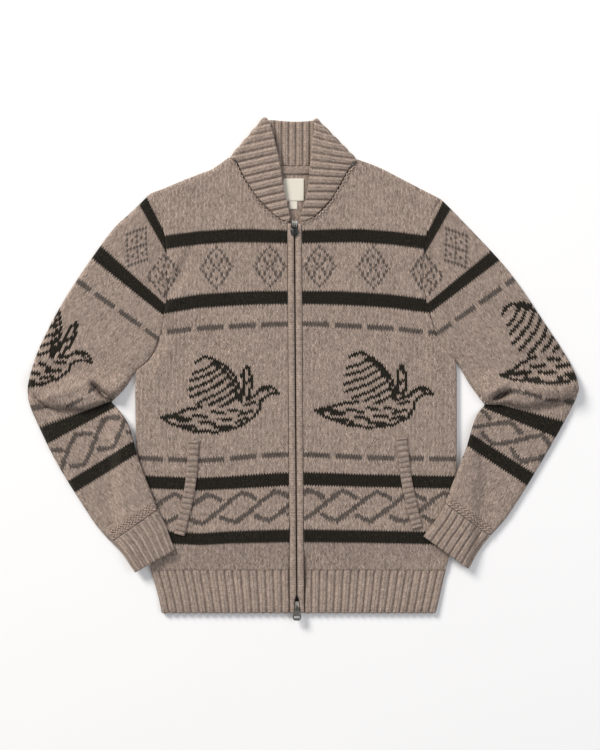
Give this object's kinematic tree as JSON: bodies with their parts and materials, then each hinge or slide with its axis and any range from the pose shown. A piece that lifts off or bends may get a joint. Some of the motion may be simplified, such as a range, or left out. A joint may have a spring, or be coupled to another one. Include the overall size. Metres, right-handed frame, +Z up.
{
  "type": "zip-up sweater",
  "caption": "Knitted sweater laid flat on its back, sleeves bent inwards, with a full-length zip, a folded rib collar, rib hem and cuffs, and slanted pocket welts.",
  "frame": {"origin": "on the surface it lies on, under the zip line, level with the armpits", "axes": "+X across the chest to the right as seen from above, +Y from the hem to the collar, +Z up from the surface"},
  "size_m": [0.8565, 0.7807, 0.0203],
  "materials": {
    "wool_knit": "heather taupe wool jersey with dark brown and grey jacquard bands",
    "wool_rib": "heather taupe wool rib",
    "wool_band": "narrow tubular wool band",
    "zip_tape": "black woven tape with dark metal teeth",
    "slider_metal": "gunmetal, slightly worn",
    "slider_dark": "black enamel",
    "pull_black": "black, moulded over a loop",
    "label_cloth": "cream woven label, blank"
  },
  "bodies": {
    "root": {"back_panel": "wool_knit", "front_left": "wool_knit", "front_right": "wool_knit", "sleeve_left": "wool_knit", "sleeve_right": "wool_knit", "cuff_left": "wool_rib", "cuff_right": "wool_rib", "hem_back": "wool_rib", "hem_front_left": "wool_rib", "hem_front_right": "wool_rib", "collar": "wool_rib", "welt_left": "wool_rib", "welt_right": "wool_rib", "placket_left": "wool_band", "placket_right": "wool_band", "neck_binding": "wool_band", "zip_tape": "zip_tape", "slider_top": "slider_metal", "slider_bottom": "slider_dark", "neck_label": "label_cloth", "size_tab": "label_cloth"},
    "pull_top": {"pull_top": "pull_black"},
    "pull_bottom": {"pull_bottom": "slider_metal"}
  },
  "joints": [
    {"name": "top_pull_hinge", "type": "hinge", "parent": "root", "child": "pull_top", "pos_m": [-0.00229, 0.2236, 0.0139], "axis": [-1, 0, 0], "range_deg": [0, 120]},
    {"name": "bottom_pull_hinge", "type": "hinge", "parent": "root", "child": "pull_bottom", "pos_m": [0.00153, -0.3706, 0.0139], "axis": [-1, 0, 0], "range_deg": [0, 150]}
  ]
}
